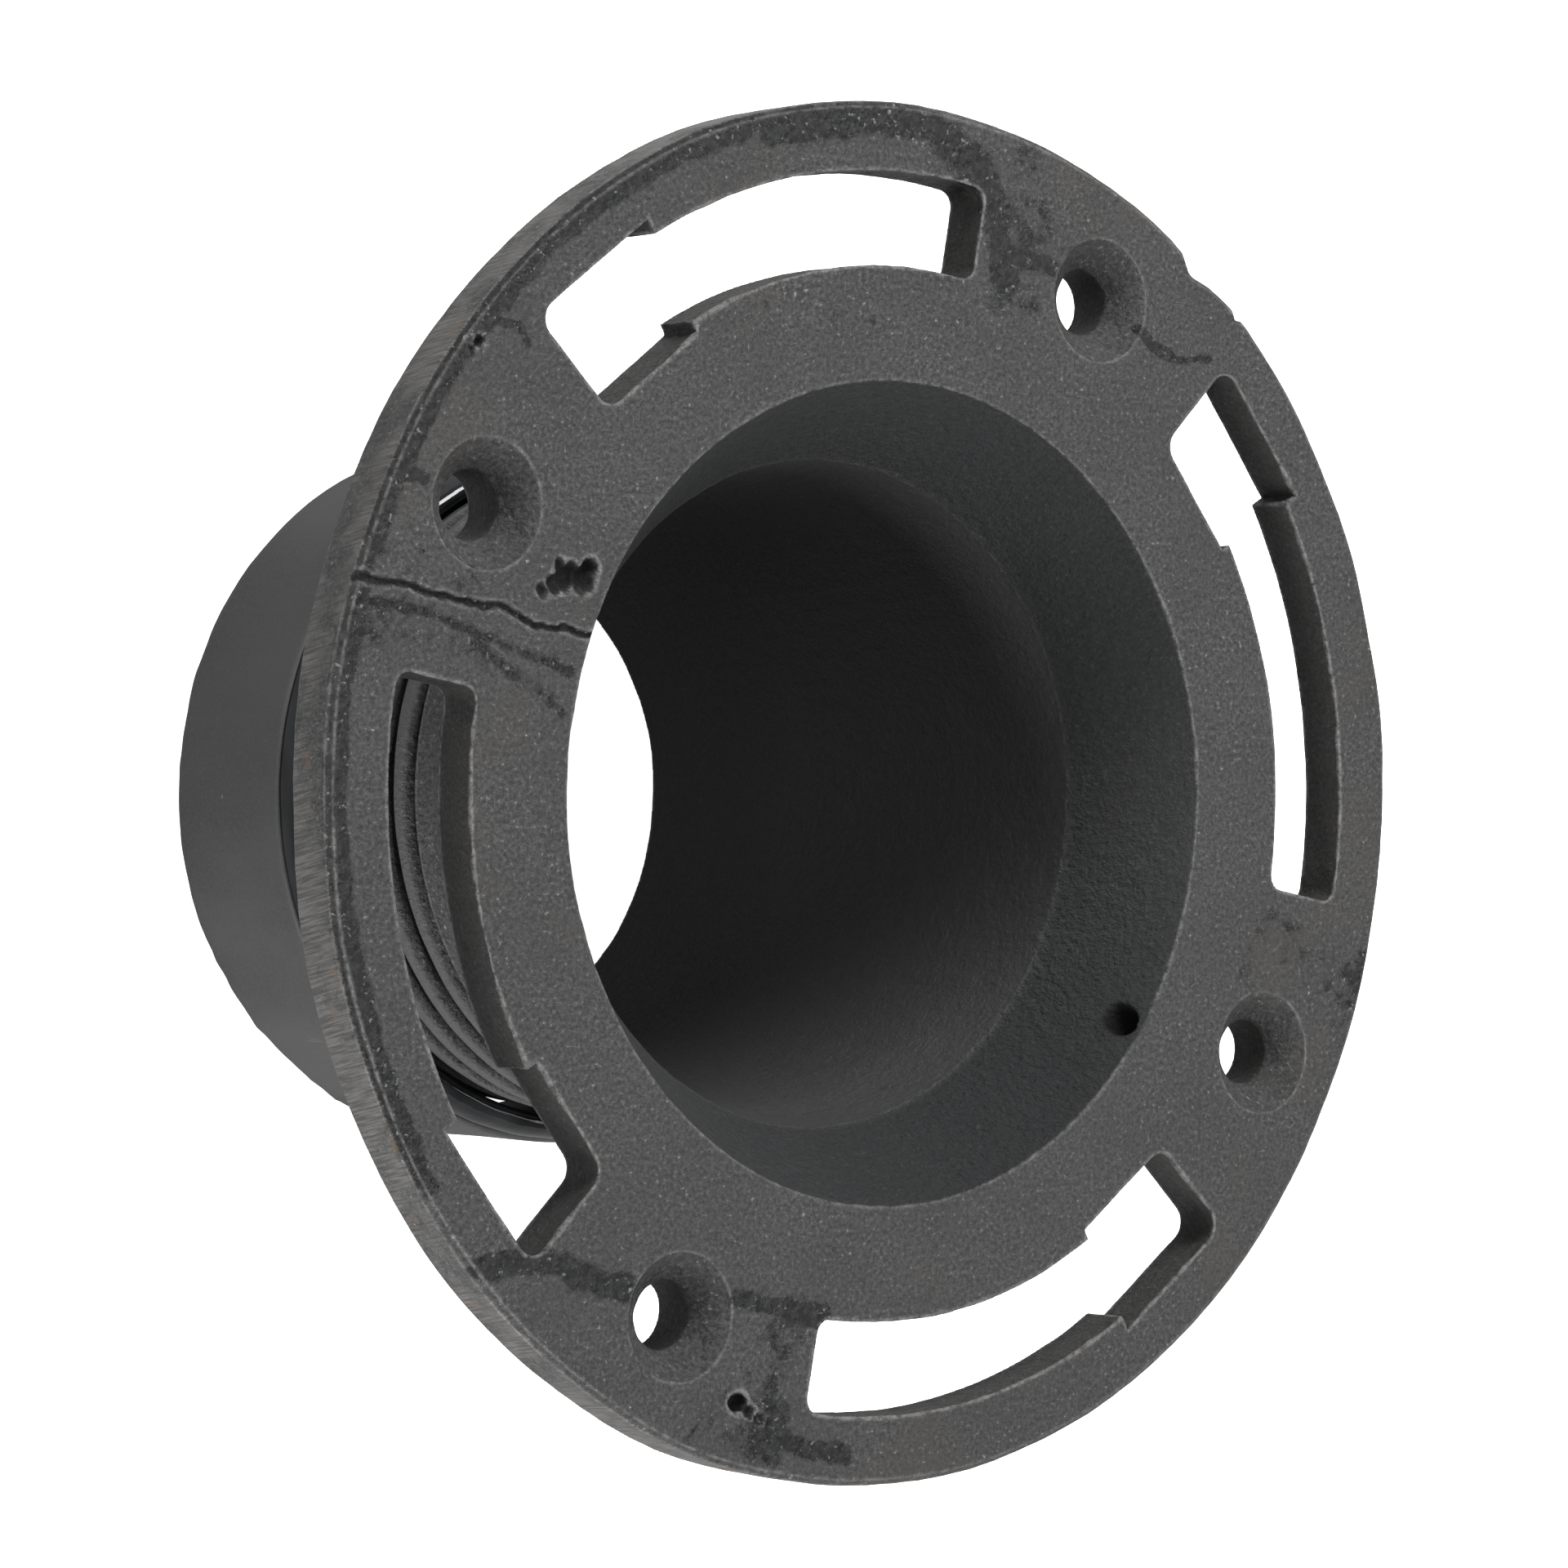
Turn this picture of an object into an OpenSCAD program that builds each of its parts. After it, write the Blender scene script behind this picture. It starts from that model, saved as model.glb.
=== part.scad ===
// Twist-to-set closet flange for a 4 inch waste pipe. One iron casting carries the bolt ring,
// the flared mouth and a threaded hub. Its hub is started into a rubber gasket with a slip
// ring on top. Turning the casting on its right-hand thread draws it down through the gasket.
// Millimetres, +Z up towards the toilet. The origin is on the bore's axis, in the floor plane,
// which is the plane of the four screw bosses' lower faces. Angles run counter-clockwise from
// +X, seen from above.

/* [Bolt ring] */
// Outside radius of the ring
ring_r = 88.9; // [86:0.1:95]
// Height of the ring's upper face above the floor plane
face_z = 10; // [9.5:0.5:12]
// Height of the rim's lower edge above the floor plane
rim_foot_z = 2; // [1:0.5:2.5]
// Thickness of the ring's web
web_t = 6.8; // [6:0.1:7]
// Width of the rim's lower skirt
rim_w = 4.4; // [3.5:0.1:5]
// Chamfer on the rim's edges
rim_chamfer = 0.8; // [0.3:0.1:1.2]

/* [Bowl bolt slots] */
// Number of slots, and of the floor screw holes between them
slot_count = 4; // [2:1:4]
// Angle of the first slot's narrow end
slot_start = 79; // [70:1:85]
// Angle from the narrow end to the head
slot_span = 40.5; // [30:0.5:42]
// Radius of the slot's inner wall
slot_in_r = 67.7; // [67:0.1:69]
// Radius of the slot's outer wall
slot_out_r = 79.8; // [78:0.1:80]
// Radius of the corners at the narrow end
slot_corner_r = 2; // [0.5:0.5:3]
// Angle that the slot's wide head covers
head_span = 15; // [12:0.5:18]
// Distance from the axis to the head's straight inner wall
head_in = 65.7; // [65:0.1:66]
// Distance from the axis to the head's straight outer wall
head_out = 81.2; // [80.5:0.1:82]
// Radius of the corners at the head's closed end
head_corner_r = 2.5; // [1:0.5:3]

/* [Floor screws] */
// Angle of the first screw hole
screw_angle = 61.5; // [58:0.5:64]
// Radius of the circle that the screw holes lie on
screw_circle_r = 74; // [72:0.5:75]
// Radius of the screw holes
screw_r = 4.35; // [3:0.05:5]
// Radius of the 90 degree countersink at the upper face
screw_sink_r = 8.2; // [6:0.1:9]
// Radius of a screw boss at the floor plane
boss_r = 10.5; // [9:0.5:11]
// Radius that a screw boss gains up to the web
boss_draft = 0.8; // [0:0.1:1]

/* [Bore and hub] */
// Radius of the mouth at the upper face
mouth_r = 53; // [51:0.5:54]
// Depth of the flared mouth below the upper face
flare_depth = 15.5; // [12:0.5:18]
// Radius of the bore at the foot of the flare
bore_top_r = 43.5; // [42:0.1:43.5]
// Radius of the bore at the hub's lower end
bore_end_r = 34.5; // [33:0.5:36]
// Height of the hub's lower end, below the floor plane
hub_end_z = -85; // [-90:1:-85]
// Outside radius of the neck under the ring
neck_top_r = 54; // [54:0.5:56]
// Radius of the fillet between the neck and the ring's web
neck_fillet_r = 4; // [2:0.5:4]
// Outside radius of the neck just below the foot of the flare
neck_bend_r = 50; // [48:0.5:52]
// Height of that place
neck_bend_z = -8; // [-10:0.5:-6]
// Height at which the neck has narrowed to the thread's size
neck_end_z = -30; // [-31:0.5:-27]
// Height of the neck's lower edge, where the thread's first groove starts
neck_foot_z = -34; // [-34:0.5:-33]

/* [Hub thread] */
// Radius of the thread's crests
crest_r = 44.3; // [44:0.1:44.3]
// Depth of the thread
thread_depth = 1.7; // [1:0.1:1.8]
// Distance from one ridge to the next
pitch = 5.5; // [5:0.1:5.6]
// Height of the first ridge's middle
first_ridge_z = -38; // [-39:0.1:-38]
// Number of ridges
ridge_count = 9; // [4:1:9]
// Width of a ridge's flat crest
crest_w = 2; // [1:0.1:2.5]
// Height below which the thread tapers
taper_z = -50; // [-60:1:-45]
// Amount that the crests draw in for each millimetre below that height
taper = 0.08; // [0:0.01:0.1]

/* [Gasket] */
// Radius of the bore of the gasket and the slip ring
gasket_bore_r = 44.6; // [44.6:0.1:45.2]
// Outside radius of the rubber gasket
gasket_r = 48.3; // [47.5:0.1:50]
// Height of the slip ring's top, when the gasket is flush with the hub's end
slip_top_z = -55; // [-56:0.5:-50]
// Height of the slip ring
slip_h = 5; // [3:0.5:8]
// Outside radius of the slip ring
slip_r = 47.9; // [47:0.1:48.3]
// Gap between the slip ring and the gasket, which turns under it
turn_gap = 0.1; // [0.05:0.05:0.3]
// Lead-in chamfer at the gasket's lower end
lead_in = 1.6; // [0.5:0.1:2]
// Chamfer at the gasket's upper edge
gasket_edge = 0.4; // [0.1:0.1:1]
// Chamfer at the hub's lower end
hub_edge = 1; // [0.5:0.1:1.5]

/* [Hidden] */
$fn = 128;
web_z = face_z - web_t;
slot_pitch = 360 / slot_count;
flare_z = face_z - flare_depth;
sink_depth = screw_sink_r - screw_r;
flank_w = (pitch - 2 * crest_w) / 2;
root_r = crest_r - thread_depth;
slip_foot_z = slip_top_z - slip_h;
gasket_top_z = slip_foot_z - turn_gap;
head_half = head_span / 2;
head_start = slot_start + slot_span;
head_mid = head_start + head_half;
head_end = head_start + head_span;
iron_colour = [0.27, 0.27, 0.28];
gloss_black = [0.06, 0.06, 0.07];
rubber_colour = [0.16, 0.16, 0.17];

function polar(r, a) = [r * cos(a), r * sin(a)];

// Points along an arc about c, from angle a0 to angle a1, in n steps
function arc(c, r, a0, a1, n) = [for (i = [0:n]) c + polar(r, a0 + (a1 - a0) * i / n)];

// Amount that the thread has drawn in at height z
function draw_in(z) = z > taper_z ? 0 : (taper_z - z) * taper;

// Outline of one thread ridge, from its upper root to its lower root
function ridge(z) = [
    [root_r - draw_in(z), z + crest_w / 2 + flank_w],
    [crest_r - draw_in(z), z + crest_w / 2],
    [crest_r - draw_in(z), z - crest_w / 2],
    [root_r - draw_in(z), z - crest_w / 2 - flank_w]
];
ridges = [for (i = [0:ridge_count - 1]) each ridge(first_ridge_z - i * pitch)];

// Angle of the centre of a corner of radius c that touches the circle of radius r and the ray
// at angle a. side is 1 for a corner outside the circle, and -1 for one inside it.
function corner_angle(r, a, c, side) = a + asin(c / (r + side * c));

// Narrow end and inner wall of one slot
in_a = corner_angle(slot_in_r, slot_start, slot_corner_r, 1);
out_a = corner_angle(slot_out_r, slot_start, slot_corner_r, -1);
in_corner = polar(slot_in_r + slot_corner_r, in_a);
out_corner = polar(slot_out_r - slot_corner_r, out_a);
narrow_wall = concat(
    arc(out_corner, slot_corner_r, out_a, slot_start - 90, 5),
    arc(in_corner, slot_corner_r, slot_start - 90, in_a - 180, 5),
    arc([0, 0], slot_in_r, in_a + 1, head_start, 20)
);

// The head's outline in its own frame, with x along the ray through its middle
function head_corner(x) = [x, (x * sin(head_half) - head_corner_r) / cos(head_half)];
head_wall = concat(
    [[head_in, -head_in * tan(head_half)]],
    arc(head_corner(head_in + head_corner_r), head_corner_r, 180, 90 + head_half, 5),
    arc(head_corner(head_out - head_corner_r), head_corner_r, 90 + head_half, 0, 6),
    [[head_out, -head_out * tan(head_half)]]
);
function turned(p, a) = [p[0] * cos(a) - p[1] * sin(a), p[0] * sin(a) + p[1] * cos(a)];
slot_outline = concat(
    narrow_wall,
    [for (p = head_wall) turned(p, head_mid)],
    arc([0, 0], slot_out_r, head_start, out_a + 1, 20)
);

module around() {
    for (i = [0:slot_count - 1]) rotate([0, 0, i * slot_pitch]) children();
}

module slot() {
    translate([0, 0, rim_foot_z - 1]) linear_extrude(face_z) polygon(slot_outline);
}

module screw_hole() {
    rotate([0, 0, screw_angle]) translate([screw_circle_r, 0, 0]) {
        translate([0, 0, -1]) cylinder(h = face_z + 2, r = screw_r);
        translate([0, 0, face_z - sink_depth])
            cylinder(h = sink_depth + 1, r1 = screw_r, r2 = screw_sink_r + 1);
    }
}

module screw_boss() {
    rotate([0, 0, screw_angle]) translate([screw_circle_r, 0, 0])
        cylinder(h = web_z + 1, r1 = boss_r, r2 = boss_r + boss_draft);
}

// Section of the ring, flared mouth, neck and threaded hub, revolved about the bore's axis
module hub_and_ring() {
    end_r = root_r - draw_in(hub_end_z);
    rotate_extrude() polygon(concat(
        [
            [bore_end_r, hub_end_z],
            [bore_top_r, flare_z],
            [mouth_r, face_z],
            [ring_r - rim_chamfer, face_z],
            [ring_r, face_z - rim_chamfer],
            [ring_r, rim_foot_z + rim_chamfer],
            [ring_r - rim_chamfer, rim_foot_z],
            [ring_r - rim_w, rim_foot_z],
            [ring_r - rim_w - (web_z - rim_foot_z), web_z],
            [neck_top_r + neck_fillet_r, web_z]
        ],
        arc([neck_top_r + neck_fillet_r, web_z - neck_fillet_r], neck_fillet_r, 112.5, 180, 3),
        [
            [neck_bend_r, neck_bend_z],
            [crest_r, neck_end_z],
            [crest_r, neck_foot_z],
            [root_r, neck_foot_z - flank_w]
        ],
        ridges,
        [
            [end_r, hub_end_z + hub_edge],
            [end_r - hub_edge, hub_end_z]
        ]
    ));
}

module flange_casting() {
    color(iron_colour) difference() {
        union() {
            hub_and_ring();
            around() screw_boss();
        }
        around() slot();
        around() screw_hole();
    }
}

// The slip ring's shoulder is a quarter of an ellipse
module slip_ring() {
    lip_r = gasket_bore_r + 1;
    shoulder = [for (a = [0:15:90])
        [lip_r + (slip_r - lip_r) * sin(a), slip_foot_z + slip_h * cos(a)]];
    color(gloss_black) rotate_extrude() polygon(concat(
        [
            [gasket_bore_r, slip_foot_z],
            [gasket_bore_r, slip_top_z - 0.5]
        ],
        shoulder
    ));
}

module rubber_gasket() {
    color(rubber_colour) rotate_extrude() polygon([
        [gasket_bore_r, hub_end_z],
        [gasket_bore_r, gasket_top_z],
        [gasket_r - gasket_edge, gasket_top_z],
        [gasket_r, gasket_top_z - gasket_edge],
        [gasket_r, hub_end_z + lead_in],
        [gasket_r - lead_in, hub_end_z]
    ]);
}

flange_casting();
slip_ring();
rubber_gasket();
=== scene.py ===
"""Looks of a twist-to-set closet flange: a sand-cast iron flange, its slip ring and its rubber gasket.

Lengths are in millimetres until a mesh is written, which is in metres. Angles are in degrees,
counter-clockwise from +X, seen from above.
"""
import math

import bpy
import numpy as np
from mathutils import Matrix, Vector


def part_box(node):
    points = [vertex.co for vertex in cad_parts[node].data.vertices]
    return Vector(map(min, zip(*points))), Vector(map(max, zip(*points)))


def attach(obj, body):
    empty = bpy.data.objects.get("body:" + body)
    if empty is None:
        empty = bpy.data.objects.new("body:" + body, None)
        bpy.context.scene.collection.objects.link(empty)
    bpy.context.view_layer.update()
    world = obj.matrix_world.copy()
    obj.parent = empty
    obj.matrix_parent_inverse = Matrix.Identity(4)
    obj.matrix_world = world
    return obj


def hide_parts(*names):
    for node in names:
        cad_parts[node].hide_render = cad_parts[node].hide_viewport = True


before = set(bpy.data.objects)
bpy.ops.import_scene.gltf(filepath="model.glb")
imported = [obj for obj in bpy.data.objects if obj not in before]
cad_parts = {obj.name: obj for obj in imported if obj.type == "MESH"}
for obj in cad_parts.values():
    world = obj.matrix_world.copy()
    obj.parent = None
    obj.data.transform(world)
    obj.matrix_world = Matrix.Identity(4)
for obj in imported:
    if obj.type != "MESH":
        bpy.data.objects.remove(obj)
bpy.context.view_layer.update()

MM = 0.001

# ---- Sizes read from the frame ----
casting_lo, casting_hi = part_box("flange_casting")
gasket_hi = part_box("rubber_gasket")[1]
slip_lo, slip_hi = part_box("slip_ring")
RING_R = casting_hi.x / MM
FACE_Z = casting_hi.z / MM
HUB_END_Z = casting_lo.z / MM
GASKET_R = gasket_hi.x / MM
GASKET_TOP_Z = gasket_hi.z / MM
SLIP_R = slip_hi.x / MM
SLIP_TOP_Z = slip_hi.z / MM
SLIP_FOOT_Z = slip_lo.z / MM

# ---- Sizes of the casting that its box doesn't give ----
MOUTH_R = 53.0
BORE_TOP_Z = -5.5
GASKET_BORE_R = 44.6
SCREW_CIRCLE_R, SCREW_ANGLE = 74.0, 61.5
SCREW_SINK_R = 8.2
SLOT_START, SLOT_IN_R = 79.0, 67.7
CREST_R, THREAD_DEPTH, PITCH, FIRST_RIDGE_Z = 44.3, 1.7, 5.5, -38.0
CREST_W, TAPER_Z, TAPER = 2.0, -50.0, 0.08
THREAD_TOP_Z, THREAD_END_Z = -34.0, -84.0
THREAD_STEPS, THREAD_ROWS = 300, 196
OCTREE_DEPTH = 9
WELD_M = 0.00001
SMOOTHED = 0.4
WEAR_PASSES, WEAR_BEND = 4, 0.22
ROUND_STEPS = 360


# ---- Small maths helpers ----
def polar(r, a):
    return r * math.cos(math.radians(a)), r * math.sin(math.radians(a))


def smooth(x, lo, hi):
    """0 below lo, 1 above hi, and a smooth step between. lo may be above hi."""
    t = np.clip((x - lo) / (hi - lo), 0, 1)
    return t * t * (3 - 2 * t)


def lattice_noise(p, size, seed):
    """Smooth noise from -1 to 1 at points p, with lumps of about the given size."""
    q = p / size + seed * 17.31
    cell = np.floor(q).astype(np.int64)
    f = q - cell
    f = f * f * (3 - 2 * f)
    total = np.zeros(len(p))
    for corner in range(8):
        offset = np.array([corner & 1, corner >> 1 & 1, corner >> 2 & 1])
        c = cell + offset
        h = (c[:, 0] * 73856093) ^ (c[:, 1] * 19349663) ^ (c[:, 2] * 83492791) ^ (seed * 2654435761)
        h = (h ^ (h >> 13)) * 1274126177 & 0x7FFFFFFF
        h = (h ^ (h >> 16)) & 0xFFFFF
        weight = np.prod(np.where(offset, f, 1 - f), axis=1)
        total += weight * (h / 0x7FFFF - 1.0)
    return total


def near_line(x, y, points):
    """Distance from each point to a line through the given points."""
    best = np.full(len(x), 1e9)
    for (ax, ay), (bx, by) in zip(points, points[1:]):
        dx, dy = bx - ax, by - ay
        t = np.clip(((x - ax) * dx + (y - ay) * dy) / (dx * dx + dy * dy), 0, 1)
        d = np.hypot(x - ax - t * dx, y - ay - t * dy)
        best = np.minimum(best, d)
    return best


# ---- Mesh helpers ----
def coords(mesh):
    co = np.empty(len(mesh.vertices) * 3)
    mesh.vertices.foreach_get("co", co)
    return co.reshape(-1, 3)


def normals(mesh):
    no = np.empty(len(mesh.vertices) * 3)
    mesh.vertices.foreach_get("normal", no)
    return no.reshape(-1, 3)


def put_coords(mesh, co):
    mesh.vertices.foreach_set("co", co.reshape(-1))
    mesh.update()


def put_value(mesh, name, values):
    layer = mesh.attributes.new(name, "FLOAT", "POINT")
    layer.data.foreach_set("value", np.asarray(values, np.float32))


def neighbour_mean(mesh, values):
    """Mean of the values at each vertex's neighbours."""
    edges = np.empty(len(mesh.edges) * 2, np.int64)
    mesh.edges.foreach_get("vertices", edges)
    a, b = edges.reshape(-1, 2).T
    here, there = np.concatenate([a, b]), np.concatenate([b, a])
    count = np.maximum(np.bincount(here, minlength=len(values)), 1)
    columns = values.reshape(len(values), -1).T
    total = [np.bincount(here, column[there], len(values)) / count for column in columns]
    return np.stack(total, 1).reshape(values.shape)


def new_object(name, mesh):
    obj = bpy.data.objects.new(name, mesh)
    bpy.context.scene.collection.objects.link(obj)
    return obj


def shade_smooth(mesh):
    mesh.polygons.foreach_set("use_smooth", np.ones(len(mesh.polygons), bool))


def revolved(name, rings, steps, ripple):
    """A closed shell from rings of (radius, height), going once round its section, in mm, then rippled."""
    count = len(rings)
    verts = []
    for k in range(steps):
        a = 2 * math.pi * k / steps
        for r, z in rings:
            verts.append((r * math.cos(a), r * math.sin(a), z))
    co = ripple(np.array(verts))
    faces = []
    for k in range(steps):
        for i in range(count):
            j, m = (i + 1) % count, (k + 1) % steps
            faces.append((k * count + i, m * count + i, m * count + j, k * count + j))
    mesh = bpy.data.meshes.new(name)
    mesh.from_pydata((co * MM).tolist(), [], faces)
    mesh.update()
    shade_smooth(mesh)
    return mesh


def refined(points, step):
    """The same closed section with a point at least every step mm."""
    out = []
    for (r0, z0), (r1, z1) in zip(points, points[1:] + points[:1]):
        n = max(1, math.ceil(math.hypot(r1 - r0, z1 - z0) / step))
        out += [(r0 + (r1 - r0) * i / n, z0 + (z1 - z0) * i / n) for i in range(n)]
    return out


# ---- The casting ----
def draw_in(z):
    return np.where(z > TAPER_Z, 0, (TAPER_Z - z) * TAPER)


# Cold shuts on the ring's left side, where two flows of iron met: a deep one and two faint ones
COLD_SHUT = [
    (-86, 26.5), (-80, 25.6), (-76.8, 25.2), (-69.6, 23.6),
    (-63.5, 23), (-58, 20.8), (-54.8, 20.3), (-49, 19.6),
]
FAINT_SHUT = [(-84, 23.4), (-76, 22.4), (-69.6, 20.3), (-64, 19.2), (-59.8, 17.4), (-52.3, 15)]
LOW_SHUT = [(-66, 18.2), (-60, 14), (-53.5, 10.5)]

# Pits in the upper face: x, y, radius, depth
PITS = [
    (-50.6, 26.9, 2.1, 1.7), (-52.9, 26.8, 1.7, 1.4), (-54.8, 26.0, 1.4, 0.9), (-49.4, 27.9, 1.1, 1.1),
    (-56.6, 25.0, 1.0, 0.6), (-53.8, 28.0, 1.0, 0.8), (-66.2, 55.0, 0.9, 0.7), (-67.4, 53.8, 0.6, 0.4),
    (-26.0, -76.3, 1.4, 1.3), (-24.4, -77.5, 1.1, 0.55), (-22.8, -78.6, 0.9, 0.35), (-21.0, -79.4, 0.8, 0.3),
    (38.6, 78.4, 0.7, 0.25), (-4.0, 60.4, 0.6, 0.3), (-21.6, 61.6, 0.7, 0.3), (-10.5, -58.0, 0.5, 0.2),
]

# The blow hole in the flare, under the mouth's edge
HOLE_R, HOLE_ANGLE, HOLE_Z = 51.6, 323.9, 7.2

# The broken-off gate on the rim: angle and how far the rim stands out there
GATE = [
    (44.6, 0), (45.9, -0.1), (46.4, -0.75), (47.2, -0.15), (49, -0.45), (50.5, -0.8), (51.6, -1.3),
    (52.6, -1.75), (53.4, -1.7), (54.1, -1.0), (54.9, -0.25), (56.5, -0.1), (60, 0),
]

# Runs of black paint on the upper face: (x, y) along the run, and its half-width
PAINT_RUNS = [
    ([polar(86.4, a) for a in range(104, 85, -3)]
     + [polar(84.6, 84), polar(81.6, 80), polar(77.5, 77.2), polar(72.5, 76.2), polar(69, 74.5)], 2.3),
    ([polar(72.4, 75.5), polar(73.4, 72), polar(73.8, 68.6)], 1.2),
    ([(-66, -57.5), (-59, -56.6), (-53.6, -57.6), (-49, -59.8), (-43.5, -61.2)], 1.6),
    ([(-26.7, -63.2), (-22, -64.2), (-17, -65.4), (-12.5, -66.5)], 1.2),
    ([(-83.5, 39.5), (-79, 39), (-74.5, 38)], 1.1),
    ([polar(86.5, 138), polar(84.8, 137.5), polar(83, 136.5), polar(80.5, 137)], 0.5),
    ([(55, 58.2), (49, 57.9), (45, 59.3), (42.5, 61.5)], 0.7),
    ([(-25.5, -77), (-21, -80.5), (-16.5, -82.5), (-9, -84)], 1.2),
]


def cast_surface(p, n):
    """How far each point of the sand-cast skin stands out, in mm."""
    d = 0.11 * lattice_noise(p, 13.0, 1) + 0.05 * lattice_noise(p, 4.6, 2)
    d += 0.035 * lattice_noise(p, 2.1, 3)
    r = np.hypot(p[:, 0], p[:, 1])
    flare = smooth(r, MOUTH_R + 0.6, MOUTH_R - 1) * smooth(p[:, 2], BORE_TOP_Z - 1, BORE_TOP_Z + 1)
    d += flare * (0.07 * lattice_noise(p, 2.6, 4) + 0.03 * lattice_noise(p, 1.4, 5))
    wall = smooth(np.abs(n[:, 2]), 0.6, 0.3) * smooth(r, 62, 65) * smooth(r, 84.5, 83)
    d += wall * (0.12 * lattice_noise(p, 3.4, 6) + 0.06 * lattice_noise(p, 1.7, 7))
    return d


def front_face(p):
    return smooth(p[:, 2], FACE_Z - 1.2, FACE_Z - 0.4)


def sink_mask(p):
    """1 in the screw holes' countersinks."""
    mask = np.zeros(len(p))
    for k in range(4):
        x, y = polar(SCREW_CIRCLE_R, SCREW_ANGLE + 90 * k)
        d = np.hypot(p[:, 0] - x, p[:, 1] - y)
        inside = smooth(d, SCREW_SINK_R + 0.1, SCREW_SINK_R - 0.7)
        mask = np.maximum(mask, inside * smooth(p[:, 2], FACE_Z - 4.6, FACE_Z - 3.4))
    return mask


def thread_shell():
    """The hub's outer skin with its helical thread, as a closed thin tube on the iron."""
    steps, rows = THREAD_STEPS, THREAD_ROWS
    theta = np.arange(steps) * 2 * math.pi / steps
    z = np.linspace(THREAD_TOP_Z, THREAD_END_Z, rows)
    tt, zz = np.meshgrid(theta, z, indexing="ij")
    phase = (zz - FIRST_RIDGE_Z) / PITCH - tt / (2 * math.pi) + 0.5
    off = np.abs((phase + 0.5) % 1.0 - 0.5) * PITCH
    flank = (PITCH - 2 * CREST_W) / 2
    ridge = 1 - smooth(off, CREST_W / 2 - 0.15, CREST_W / 2 + flank + 0.1)
    start = smooth(zz, THREAD_TOP_Z - 1.2, THREAD_TOP_Z - 3) * smooth(zz, THREAD_END_Z, THREAD_END_Z + 2)
    root = CREST_R - THREAD_DEPTH - draw_in(zz)
    outer = root + THREAD_DEPTH * ridge * start
    p = np.stack([outer * np.cos(tt), outer * np.sin(tt), zz], -1).reshape(-1, 3)
    worn = np.abs(0.05 * lattice_noise(p, 5.0, 21) + 0.03 * lattice_noise(p, 1.5, 22))
    outer -= worn.reshape(outer.shape)
    neck = smooth(zz, THREAD_TOP_Z - 0.9, THREAD_TOP_Z - 0.2)
    outer = outer + (CREST_R - 0.05 - outer) * neck
    inner = (root - 1.1)[:, ::-1]
    radius = np.concatenate([outer, inner], 1)
    height = np.concatenate([zz, zz[:, ::-1]], 1)
    angle = np.concatenate([tt, tt], 1)
    co = np.stack([radius * np.cos(angle), radius * np.sin(angle), height], -1).reshape(-1, 3)
    count = 2 * rows
    k, i = np.meshgrid(np.arange(steps), np.arange(count), indexing="ij")
    m, j = (k + 1) % steps, (i + 1) % count
    quads = np.stack([k * count + i, k * count + j, m * count + j, m * count + i], -1).reshape(-1, 4)
    mesh = bpy.data.meshes.new("thread")
    mesh.from_pydata((co * MM).tolist(), [], quads.tolist())
    mesh.update()
    shade_smooth(mesh)
    none = np.zeros_like(ridge)
    # These masks carry painted light on the thread's crests and painted shade in its grooves
    put_value(mesh, "crest", np.concatenate([ridge * start, none], 1).reshape(-1))
    in_groove = smooth(ridge, 0.55, 0.1) * (1 - neck)
    put_value(mesh, "groove", np.concatenate([in_groove, none], 1).reshape(-1))
    return mesh


def evenly_meshed(node):
    """The CAD casting with its parallel ridges pressed flat, remeshed evenly."""
    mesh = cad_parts[node].data.copy()
    p = coords(mesh) / MM
    r = np.hypot(p[:, 0], p[:, 1])
    root = CREST_R - THREAD_DEPTH - draw_in(p[:, 2])
    on_thread = (p[:, 2] < THREAD_TOP_Z - 0.2) & (p[:, 2] > HUB_END_Z + 0.5) & (r > root - 0.3)
    scale = np.where(on_thread, (root - 0.5) / np.maximum(r, 1), 1)
    p[:, :2] *= scale[:, None]
    put_coords(mesh, p * MM)
    mesh.materials.clear()
    obj = new_object("casting_source", mesh)
    weld = obj.modifiers.new("weld", "WELD")
    weld.merge_threshold = WELD_M
    even = obj.modifiers.new("even", "REMESH")
    even.mode = "SHARP"
    even.octree_depth = OCTREE_DEPTH
    even.scale = 0.99
    even.sharpness = 1.0
    even.use_remove_disconnected = False
    graph = bpy.context.evaluated_depsgraph_get()
    out = bpy.data.meshes.new_from_object(obj.evaluated_get(graph))
    bpy.data.objects.remove(obj)
    bpy.data.meshes.remove(mesh)
    return out


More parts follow.
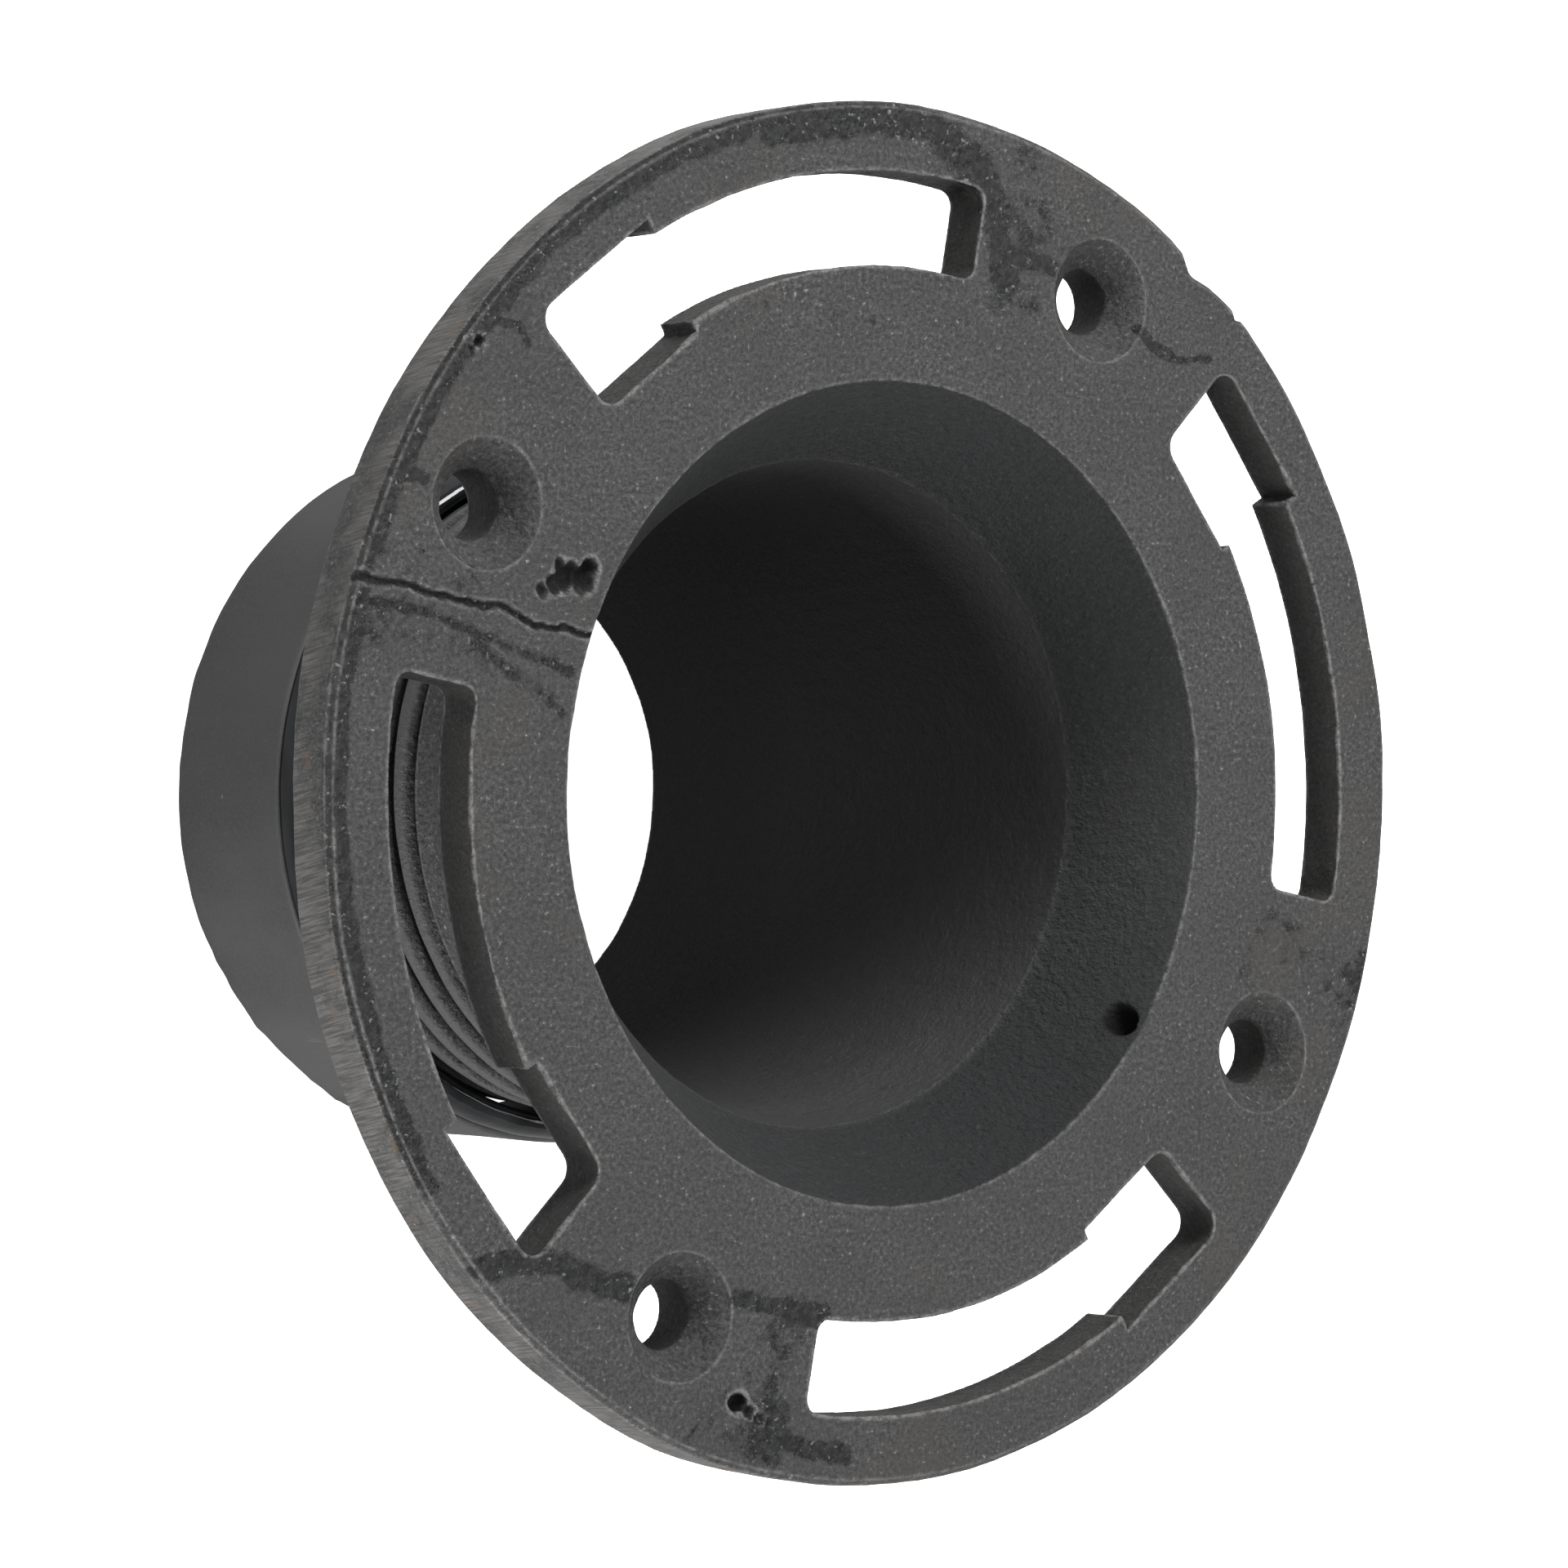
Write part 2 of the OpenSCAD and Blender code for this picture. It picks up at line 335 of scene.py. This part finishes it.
def shape_casting(mesh):
    """Moves the evenly meshed casting's points into a sand casting's skin, and marks its finishes and where
    light and shade are painted.
    """
    p, n = coords(mesh) / MM, normals(mesh)
    p = p * (1 - SMOOTHED) + neighbour_mean(mesh, p) * SMOOTHED
    r = np.hypot(p[:, 0], p[:, 1])
    a = np.degrees(np.arctan2(p[:, 1], p[:, 0])) % 360
    face = front_face(p)
    sink = sink_mask(p)
    d = cast_surface(p, n)
    d += sink * (0.16 * lattice_noise(p, 2.2, 8) + 0.08 * lattice_noise(p, 1.2, 9))
    hub = smooth(p[:, 2], -32, -34) * smooth(r, 40, 41.5)
    d *= 1 - hub
    q = p + n * d[:, None]

    # The rim's side: slightly out of round, with the broken-off gate
    rim = smooth(r, 84.6, 88.2)
    out = 0.22 * lattice_noise(np.stack([p[:, 0], p[:, 1], 0 * r], 1), 16.0, 10) - 0.12
    out += np.interp(a, [g[0] for g in GATE], [g[1] for g in GATE])
    q[:, :2] *= (1 + rim * out / np.maximum(r, 1))[:, None]

    # Pits, cold shuts and the blow hole under the mouth's edge
    sunk = np.zeros(len(p))
    for x, y, radius, depth in PITS:
        ragged = 0.4 * lattice_noise(p, radius, 11) + 0.15 * lattice_noise(p, 0.8, 14)
        dist = np.hypot(p[:, 0] - x, p[:, 1] - y) + radius * ragged
        sunk = np.maximum(sunk, depth * smooth(dist, radius * 1.15, radius * 0.35))
    wander = 0.35 * lattice_noise(p, 3.0, 12) + 0.25 * lattice_noise(p, 1.1, 15)
    deep = near_line(p[:, 0], p[:, 1] + wander, COLD_SHUT)
    sunk += 0.4 * smooth(deep, 0.65, 0.1) * smooth(r, 50, 53.5)
    faint = near_line(p[:, 0], p[:, 1] + wander, FAINT_SHUT)
    sunk += 0.16 * smooth(faint, 1.0, 0.2)
    low = near_line(p[:, 0], p[:, 1] + wander, LOW_SHUT)
    sunk += 0.1 * smooth(low, 1.2, 0.2)
    q[:, 2] -= face * sunk
    hx, hy = polar(HOLE_R, HOLE_ANGLE)
    hole = np.hypot(np.hypot(p[:, 0] - hx, p[:, 1] - hy), p[:, 2] - HOLE_Z)
    hole = hole + 0.3 * lattice_noise(p, 2.0, 13)
    hole_depth = 4.5 * smooth(hole, 2.5, 1.5)
    q[:, 0] += hole_depth * hx / HOLE_R
    q[:, 1] += hole_depth * hy / HOLE_R

    # No point stands more than a trace past the ring's radius
    far = np.hypot(q[:, 0], q[:, 1])
    q[:, :2] *= np.minimum(1, (RING_R + 0.15) / np.maximum(far, 1))[:, None]
    put_coords(mesh, q * MM)

    paint = np.zeros(len(p))
    for points, half in PAINT_RUNS:
        dist = near_line(p[:, 0], p[:, 1], points)
        paint = np.maximum(paint, smooth(dist, half * 2.1, 0))
    edge_run = smooth(np.abs(r - 88.0), 3.6, 0.9) * smooth(a, 96, 112) * smooth(a, 222, 205)
    paint = np.maximum(paint, edge_run)
    paint = np.maximum(paint, 0.95 * smooth(deep, 0.8, 0.05) * smooth(r, 50, 53.5))
    paint = np.maximum(paint, 0.72 * smooth(faint, 1.5, 0.1))
    paint = np.maximum(paint, 0.6 * smooth(low, 2.2, 0.2))
    slot_a = (a - SLOT_START) % 90
    beside = smooth(r, SLOT_IN_R - 5, SLOT_IN_R - 1) * smooth(slot_a, 90, 86) * smooth(slot_a, 72, 86)
    paint = np.maximum(paint, 0.45 * beside)
    put_value(mesh, "paint", paint * smooth(p[:, 2], FACE_Z - 1.6, FACE_Z - 0.7))
    # Painted shade in the pits, the cold shuts and the blow hole
    put_value(mesh, "pit_shade", np.clip(face * sunk * 1.6 + smooth(hole, 2.9, 2.1), 0, 1))
    side = smooth(np.hypot(n[:, 0], n[:, 1]), 0.82, 0.95) * smooth(r, 87.2, 88.2)
    put_value(mesh, "rim_side", side)
    # The bore masks carry the flare's painted shade and the deep bore's painted light, as well as the bumps
    # there
    inside = smooth(r, 57, 54.5) * smooth(-(n[:, 0] * p[:, 0] + n[:, 1] * p[:, 1]), 0, 8)
    put_value(mesh, "bore", inside)
    put_value(mesh, "deep_bore", inside * smooth(p[:, 2], BORE_TOP_Z + 1.2, BORE_TOP_Z - 1.2))
    # Painted shade on the slot walls: this mask darkens them in the iron's colour
    wall_shade_mask = smooth(np.abs(n[:, 2]), 0.75, 0.4) * smooth(r, 62, 65) * smooth(r, 84.6, 83.5) * (1 - sink)
    put_value(mesh, "slot_wall_shade", wall_shade_mask)

    # Convex edges, where handling has worn the black off; their light colour is also a painted highlight
    # along the edges
    fresh = coords(mesh) / MM
    curve = fresh.copy()
    for _ in range(WEAR_PASSES):
        curve = neighbour_mean(mesh, curve)
    bend = ((fresh - curve) * normals(mesh)).sum(1)
    kept = (1 - 0.5 * sink) * (1 - np.clip(3 * face * sunk + smooth(hole, 4.4, 3.0), 0, 1))
    put_value(mesh, "edge", np.clip(bend / WEAR_BEND, -1, 1) * kept)
    put_value(mesh, "crest", np.zeros(len(p)))


def join(parts, name):
    """One object from several meshes."""
    objects = [new_object(name, m) for m in parts]
    with bpy.context.temp_override(active_object=objects[0], selected_editable_objects=objects):
        bpy.ops.object.join()
    objects[0].name = name
    return objects[0]


# ---- Materials ----
class Nodes:
    """A short way to build a node material."""

    def __init__(self, name):
        self.material = bpy.data.materials.new(name)
        self.material.use_nodes = True
        self.tree = self.material.node_tree
        self.shader = self.tree.nodes["Principled BSDF"]
        self.place = self.tree.nodes.new("ShaderNodeTexCoord").outputs["Object"]

    def link(self, source, socket):
        if isinstance(source, (int, float, tuple)):
            socket.default_value = source
        else:
            self.tree.links.new(source, socket)

    def value(self, name):
        node = self.tree.nodes.new("ShaderNodeAttribute")
        node.attribute_name = name
        return node.outputs["Fac"]

    def math(self, operation, a, b):
        node = self.tree.nodes.new("ShaderNodeMath")
        node.operation = operation
        self.link(a, node.inputs[0])
        self.link(b, node.inputs[1])
        return node.outputs[0]

    def times(self, a, b):
        return self.math("MULTIPLY", a, b)

    def noise(self, scale, detail=3.0, rough=0.55, place=None):
        node = self.tree.nodes.new("ShaderNodeTexNoise")
        node.inputs["Scale"].default_value = scale
        node.inputs["Detail"].default_value = detail
        node.inputs["Roughness"].default_value = rough
        self.link(place or self.place, node.inputs["Vector"])
        return node.outputs["Fac"]

    def cells(self, scale):
        node = self.tree.nodes.new("ShaderNodeTexVoronoi")
        node.inputs["Scale"].default_value = scale
        self.link(self.place, node.inputs["Vector"])
        return node.outputs["Distance"]

    def ramp(self, value, lo, hi, out_lo=0.0, out_hi=1.0):
        node = self.tree.nodes.new("ShaderNodeMapRange")
        node.interpolation_type = "SMOOTHSTEP"
        for socket, x in zip(("From Min", "From Max", "To Min", "To Max"), (lo, hi, out_lo, out_hi)):
            node.inputs[socket].default_value = x
        self.link(value, node.inputs["Value"])
        return node.outputs["Result"]

    def mix(self, amount, a, b):
        node = self.tree.nodes.new("ShaderNodeMix")
        node.data_type = "RGBA"
        self.link(amount, node.inputs["Factor"])
        self.link(a, node.inputs[6])
        self.link(b, node.inputs[7])
        return node.outputs[2]

    def blend(self, amount, a, b):
        node = self.tree.nodes.new("ShaderNodeMix")
        self.link(amount, node.inputs[0])
        self.link(a, node.inputs[2])
        self.link(b, node.inputs[3])
        return node.outputs[0]

    def bump(self, height, distance, strength=1.0, under=None):
        node = self.tree.nodes.new("ShaderNodeBump")
        node.inputs["Distance"].default_value = distance
        self.link(strength, node.inputs["Strength"])
        self.link(height, node.inputs["Height"])
        if under is not None:
            self.link(under, node.inputs["Normal"])
        return node.outputs["Normal"]

    def stretched(self, scale, turn=(0, 0, 0)):
        """The object's coordinates, turned and then scaled by a different amount along each axis."""
        node = self.tree.nodes.new("ShaderNodeMapping")
        node.inputs["Rotation"].default_value = [math.radians(t) for t in turn]
        node.inputs["Scale"].default_value = scale
        self.link(self.place, node.inputs["Vector"])
        return node.outputs[0]

    def strokes_across(self, slant, across, along):
        """Coordinates for fine slanting strokes across the rim's side, so many to the metre each way."""
        apart = self.tree.nodes.new("ShaderNodeSeparateXYZ")
        self.link(self.place, apart.inputs[0])
        x, y, z = apart.outputs
        turn = self.math("ARCTAN2", y, x)
        arc = self.math("ADD", self.times(turn, RING_R * MM), self.times(z, slant))
        together = self.tree.nodes.new("ShaderNodeCombineXYZ")
        self.link(self.times(arc, across), together.inputs[0])
        self.link(self.times(z, along), together.inputs[1])
        return together.outputs[0]


def grey(v, warm=0.0):
    return (v * (1 + warm), v, v * (1 - warm), 1.0)


# Colours of the painted iron, of its wear and of the runs of paint, and of the painted light and shade on it
PAINT_THICK, PAINT_THIN, PAINT_DULL = grey(0.014, -0.02), grey(0.062), grey(0.018, -0.02)
BROWN_TINGE, RUST = (0.044, 0.037, 0.030, 1.0), (0.13, 0.085, 0.055, 1.0)
GRAIN_FLECK_AND_PAINTED_GLINT, PORE, PIT_SHADE = grey(0.24), grey(0.006), grey(0.004)
FLARE_PAINTED_SHADE, DEEP_BORE_PAINTED_LIGHT, SLOT_WALL_SHADE = grey(0.017, -0.07), grey(0.036), (0.010, 0.009, 0.008, 1.0)
RUN_THICK, RUN_THIN, RUN_PAINTED_HIGHLIGHT = grey(0.002, -0.08), grey(0.02, -0.04), grey(0.2, -0.03)
WORN_EDGE_AND_HIGHLIGHT, GROUND_DARK, GROUND_LIGHT = grey(0.22, 0.02), grey(0.055, 0.03), grey(0.13, 0.03)
CREST_LIGHT, GROOVE_SHADE = grey(0.06), grey(0.002)

# Colours of the rubber and of the lubricated ring
RUBBER_DARK, RUBBER_LIGHT, RUBBER_BLOOM = grey(0.026), grey(0.046), grey(0.06)
SCUFF, DUST = grey(0.16), grey(0.25)
GLOSS_DARK, GLOSS_LIGHT = grey(0.004, -0.05), grey(0.012, -0.12)


def cast_iron():
    """Sand-cast grey iron under thin black paint, worn to metal at its edges and ground at its rim, with
    painted highlights on its edges, grain and paint runs, painted light on its thread crests and deep bore,
    and painted shade on its flare, slot walls, pits and thread grooves.
    """
    m = Nodes("painted_cast_iron")
    face_tone = m.noise(70, 2)
    grain = m.noise(1700, 4, 0.75)
    speck = m.ramp(m.noise(1700, 2, 0.6), 0.65, 0.76)
    skin = m.mix(m.ramp(grain, 0.36, 0.66), PAINT_THICK, PAINT_THIN)
    skin = m.mix(m.ramp(face_tone, 0.35, 0.7, 0.0, 0.3), skin, PAINT_DULL)
    brown = m.times(m.ramp(m.noise(38, 3), 0.56, 0.72), 0.35)
    skin = m.mix(brown, skin, BROWN_TINGE)
    # Light flecks of the iron's grain, partly painted glints
    skin = m.mix(m.times(speck, 0.75), skin, GRAIN_FLECK_AND_PAINTED_GLINT)

    pores = m.times(m.ramp(m.cells(640), 0.2, 0.07), m.ramp(m.noise(240, 2), 0.46, 0.6))
    skin = m.mix(m.times(pores, 0.75), skin, PORE)

    bore = m.value("bore")
    deep_bore = m.value("deep_bore")
    # Painted shade darkens the flare
    skin = m.mix(m.times(bore, 0.75), skin, FLARE_PAINTED_SHADE)
    # Painted light brightens the deep bore
    skin = m.mix(m.times(deep_bore, 0.9), skin, DEEP_BORE_PAINTED_LIGHT)
    # Painted shade on the slot walls
    wall = m.value("slot_wall_shade")
    skin = m.mix(m.times(wall, 0.8), skin, SLOT_WALL_SHADE)

    ragged = m.math("ADD", m.noise(420, 5, 0.8), m.times(m.noise(130, 2), 0.7))
    painted = m.ramp(m.math("ADD", m.value("paint"), m.times(ragged, 1.7)), 1.76, 2.1)
    runny = m.mix(m.ramp(m.noise(900, 3, 0.7), 0.4, 0.66), RUN_THICK, RUN_THIN)
    skin = m.mix(m.times(painted, 0.9), skin, runny)
    # Painted highlights: bright specks scattered in the paint runs
    run_painted_highlight = m.times(m.times(painted, m.ramp(m.noise(1250, 2, 0.6), 0.63, 0.73)), 0.8)
    skin = m.mix(run_painted_highlight, skin, RUN_PAINTED_HIGHLIGHT)
    # Painted shade in the pits, the cold shuts and the blow hole
    skin = m.mix(m.value("pit_shade"), skin, PIT_SHADE)

    # Edge wear to bare metal, which also serves as painted highlights along the convex edges
    worn = m.times(m.ramp(m.value("edge"), 0.1, 0.65), m.ramp(m.noise(700, 5, 0.8), 0.34, 0.64))
    skin = m.mix(m.times(worn, 0.8), skin, WORN_EDGE_AND_HIGHLIGHT)

    rim = m.value("rim_side")
    strokes = m.noise(1.0, 3, 0.6, m.strokes_across(slant=0.2, across=3100, along=150))
    metal = m.mix(m.ramp(strokes, 0.35, 0.66), GROUND_DARK, GROUND_LIGHT)
    ground_patch = m.ramp(m.noise(75, 4, 0.65), 0.4, 0.56, 0.15, 1.0)
    ground = m.times(rim, ground_patch)
    skin = m.mix(ground, skin, metal)
    rust = m.times(m.times(rim, m.ramp(m.noise(210, 4), 0.62, 0.7)), 0.5)
    skin = m.mix(rust, skin, RUST)

    # Painted light on the thread's crests and painted shade in its grooves
    crest = m.value("crest")
    skin = m.mix(m.ramp(crest, 0.55, 0.95), skin, CREST_LIGHT)
    skin = m.mix(m.value("groove"), skin, GROOVE_SHADE)
    m.link(skin, m.shader.inputs["Base Color"])

    rough = m.ramp(grain, 0.3, 0.7, 0.62, 0.44)
    rough = m.blend(painted, rough, 0.24)
    rough = m.blend(ground, rough, 0.45)
    rough = m.blend(speck, rough, 0.3)
    m.link(rough, m.shader.inputs["Roughness"])
    bare = m.math("MAXIMUM", m.times(ground, 0.35), m.times(worn, 0.4))
    m.link(bare, m.shader.inputs["Metallic"])
    hollow = m.math("MAXIMUM", m.value("groove"), m.times(m.value("pit_shade"), 0.6))
    shine = m.blend(painted, 0.4, 0.26)
    m.link(m.blend(hollow, shine, 0.03), m.shader.inputs["Specular IOR Level"])

    sand = m.math("ADD", m.times(grain, 0.7), m.times(m.noise(800, 3, 0.6), 0.9))
    amount = m.blend(ground, m.blend(deep_bore, m.blend(bore, 0.65, 1.0), 0.45), 0.2)
    normal = m.bump(sand, 0.0012, amount)
    normal = m.bump(strokes, 0.00006, m.times(ground, 0.7), normal)
    m.link(normal, m.shader.inputs["Normal"])
    return m.material


def rubber():
    """Matte charcoal rubber with a fine bloom, scuffs and a faint mould line."""
    m = Nodes("matte_black_rubber")
    bloom = m.noise(48, 3, 0.5, m.stretched((1, 1, 0.55)))
    colour = m.mix(m.ramp(bloom, 0.3, 0.72), RUBBER_DARK, RUBBER_LIGHT)
    fine = m.noise(2300, 3, 0.6)
    colour = m.mix(m.ramp(fine, 0.35, 0.7, 0.0, 0.4), colour, RUBBER_BLOOM)
    scratch_way = m.stretched((700, 700, 46), (18, 24, 0))
    scratch = m.ramp(m.noise(1.0, 2, 0.5, scratch_way), 0.70, 0.76)
    scratch = m.times(scratch, m.ramp(m.noise(30, 2), 0.52, 0.64))
    colour = m.mix(m.times(scratch, 0.6), colour, SCUFF)
    dust = m.times(m.ramp(m.cells(260), 0.075, 0.03), m.ramp(m.noise(90, 2), 0.55, 0.65))
    colour = m.mix(m.times(dust, 0.5), colour, DUST)
    m.link(colour, m.shader.inputs["Base Color"])
    m.link(m.ramp(bloom, 0.3, 0.7, 0.5, 0.64), m.shader.inputs["Roughness"])
    m.shader.inputs["Specular IOR Level"].default_value = 0.4
    skin = m.math("ADD", fine, m.times(m.noise(320, 2), 0.5))
    m.link(m.bump(skin, 0.00005, 0.6), m.shader.inputs["Normal"])
    return m.material


def gloss():
    """Gloss black, wetted with lubricant that gathers in soft ripples."""
    m = Nodes("gloss_black_lubricated")
    streak = m.noise(120, 3, 0.5, m.stretched((1, 1, 2.2)))
    m.link(m.mix(m.ramp(streak, 0.35, 0.7), GLOSS_DARK, GLOSS_LIGHT), m.shader.inputs["Base Color"])
    m.link(m.ramp(streak, 0.3, 0.7, 0.05, 0.16), m.shader.inputs["Roughness"])
    m.shader.inputs["Specular IOR Level"].default_value = 0.35
    m.link(m.bump(m.noise(230, 2, 0.5), 0.00025, 0.7), m.shader.inputs["Normal"])
    return m.material


# ---- Pieces ----
def build_casting():
    body = evenly_meshed("flange_casting")
    shade_smooth(body)
    shape_casting(body)
    piece = join([body, thread_shell()], "flange_casting_iron")
    piece.data.materials.clear()
    piece.data.materials.append(cast_iron())
    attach(piece, "flange")
    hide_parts("flange_casting")


def build_gasket():
    top, foot, outer, bore = GASKET_TOP_Z, HUB_END_Z, GASKET_R, GASKET_BORE_R
    section = [
        (bore, foot + 0.5), (bore, top - 0.3), (bore + 0.3, top), (outer - 0.5, top),
        (outer - 0.15, top - 0.15), (outer, top - 0.5), (outer, foot + 1.8), (outer - 0.35, foot + 0.9),
        (outer - 1.6, foot), (bore + 0.5, foot),
    ]

    def ripple(co):
        """A hand-trimmed lower edge with torn flash, and a barely uneven wall."""
        r = np.hypot(co[:, 0], co[:, 1])
        a = np.degrees(np.arctan2(co[:, 1], co[:, 0])) % 360
        wall = smooth(r, bore + 1, outer)
        low = smooth(co[:, 2], foot + 3.2, foot + 0.6)
        torn = smooth(a, 204, 214) * smooth(a, 244, 232)
        flat = np.stack([co[:, 0], co[:, 1], 0 * r], 1)
        bite = lattice_noise(flat, 4.4, 31) + 0.5 * lattice_noise(flat, 1.8, 32)
        shift = 0.08 * lattice_noise(co, 14.0, 33) - 0.05
        shift = wall * (shift + low * (0.12 * bite - 0.1) + low * torn * (0.75 * bite - 0.6))
        seam = np.minimum(np.abs(a - 62), np.abs(a - 242))
        shift += wall * 0.1 * smooth(seam, 0.8, 0.2)
        shift = np.where(r < bore + 0.4, 0, shift)
        co[:, :2] *= (1 + shift / r)[:, None]
        return co

    mesh = revolved("rubber_gasket_sleeve", refined(section, 0.8), ROUND_STEPS, ripple)
    piece = new_object("rubber_gasket_sleeve", mesh)
    mesh.materials.append(rubber())
    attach(piece, "gasket")
    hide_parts("rubber_gasket")


def build_slip_ring():
    bore, lip = GASKET_BORE_R, GASKET_BORE_R + 1
    height = SLIP_TOP_Z - SLIP_FOOT_Z
    turns = [math.radians(t) for t in range(0, 91, 6)]
    shoulder = [(lip + (SLIP_R - lip) * math.sin(t), SLIP_FOOT_Z + height * math.cos(t)) for t in turns]
    section = [(bore, SLIP_FOOT_Z), (bore, SLIP_TOP_Z - 0.7), (bore + 0.3, SLIP_TOP_Z - 0.2)] + shoulder

    def ripple(co):
        r = np.hypot(co[:, 0], co[:, 1])
        wet = smooth(r, bore + 0.2, bore + 1.5) * 0.07 * lattice_noise(co, 3.5, 41)
        co[:, :2] *= (1 + (wet - 0.07) * smooth(r, bore + 0.2, bore + 1) / r)[:, None]
        return co

    mesh = revolved("gasket_slip_ring", refined(section, 0.6), ROUND_STEPS, ripple)
    piece = new_object("gasket_slip_ring", mesh)
    mesh.materials.append(gloss())
    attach(piece, "slip_ring")
    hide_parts("slip_ring")


# ---- Studio ----
GLOW_LIT, GLOW_SEEN = 0.1, 1.0
PALE_LIT, PALE_SEEN = 0.3, 0.86
WORLD_LIT, WORLD_SEEN = 0.27, 1.0
FLOOR_HALF, FLOOR_GAP = 6.0, 0.3

# Area lights: name, place in metres, width and height, power in watts
LIGHTS = [
    ("key", (0.1, 1.0, 0.55), (0.5, 0.5), 19),
    ("fill", (0.95, -0.45, 0.95), (0.8, 0.8), 14),
    ("front", (-0.8, 0.1, 0.95), (0.6, 0.6), 5),
    ("low_left", (-0.6, -1.0, 0.0), (0.9, 0.7), 32),
]
LIGHT_TARGET = (0, 0, -0.02)

# The camera's lens in mm, and its places in metres
SENSOR_MM, LENS_MM = 36, 131.25
CAMERA_PLACE = (-0.47565, 0.00354, 0.56822)
CAMERA_TARGET = (-0.01053, 0.00124, 0.0)
CAMERA_UPRIGHT = (0.002, 1, -0.0024)


def by_camera_ray(tree, lit, seen):
    """One value where a surface lights the part, and another where the camera sees it."""
    spread = tree.nodes.new("ShaderNodeMapRange")
    spread.inputs["To Min"].default_value = lit
    spread.inputs["To Max"].default_value = seen
    path = tree.nodes.new("ShaderNodeLightPath")
    tree.links.new(path.outputs["Is Camera Ray"], spread.inputs["Value"])
    return spread.outputs["Result"]


def build_floor():
    """A pale floor that glows a little, like a light table, under the standing part."""
    mesh = bpy.data.meshes.new("floor")
    half, z = FLOOR_HALF, (HUB_END_Z - FLOOR_GAP) * MM
    corners = [(-half, -half, z), (half, -half, z), (half, half, z), (-half, half, z)]
    mesh.from_pydata(corners, [], [(0, 1, 2, 3)])
    floor = new_object("floor", mesh)
    material = bpy.data.materials.new("pale_floor")
    material.use_nodes = True
    shader = material.node_tree.nodes["Principled BSDF"]
    shader.inputs["Roughness"].default_value = 0.9
    shader.inputs["Specular IOR Level"].default_value = 0.1
    shader.inputs["Emission Color"].default_value = (1, 1, 1, 1)
    tree = material.node_tree
    tree.links.new(by_camera_ray(tree, GLOW_LIT, GLOW_SEEN), shader.inputs["Emission Strength"])
    tree.links.new(by_camera_ray(tree, PALE_LIT, PALE_SEEN), shader.inputs["Base Color"])
    mesh.materials.append(material)


def area_light(name, place, size, power):
    data = bpy.data.lights.new(name, "AREA")
    data.shape = "RECTANGLE"
    data.size, data.size_y = size
    data.energy = power
    obj = bpy.data.objects.new(name, data)
    bpy.context.scene.collection.objects.link(obj)
    obj.location = place
    obj.rotation_euler = (Vector(LIGHT_TARGET) - Vector(place)).to_track_quat("-Z", "Y").to_euler()


def build_lights():
    world = bpy.data.worlds.new("studio")
    bpy.context.scene.world = world
    world.use_nodes = True
    background = world.node_tree.nodes["Background"]
    background.inputs["Color"].default_value = (1, 1, 1, 1)
    tree = world.node_tree
    tree.links.new(by_camera_ray(tree, WORLD_LIT, WORLD_SEEN), background.inputs["Strength"])
    for light in LIGHTS:
        area_light(*light)


def build_camera():
    """A long lens, high on the left. Its upright is the part's +Y, so it is rolled from the vertical."""
    data = bpy.data.cameras.new("camera")
    data.sensor_width = SENSOR_MM
    data.lens = LENS_MM
    data.clip_start, data.clip_end = 0.01, 50
    obj = bpy.data.objects.new("camera", data)
    bpy.context.scene.collection.objects.link(obj)
    place = Vector(CAMERA_PLACE)
    look = (Vector(CAMERA_TARGET) - place).normalized()
    right = look.cross(Vector(CAMERA_UPRIGHT)).normalized()
    up = right.cross(look)
    turn = Matrix((right, up, -look)).transposed()
    obj.matrix_world = Matrix.Translation(place) @ turn.to_4x4()
    bpy.context.scene.camera = obj


build_camera()
build_floor()
build_lights()
build_casting()
build_gasket()
build_slip_ring()
bpy.context.scene.view_settings.view_transform = "Standard"
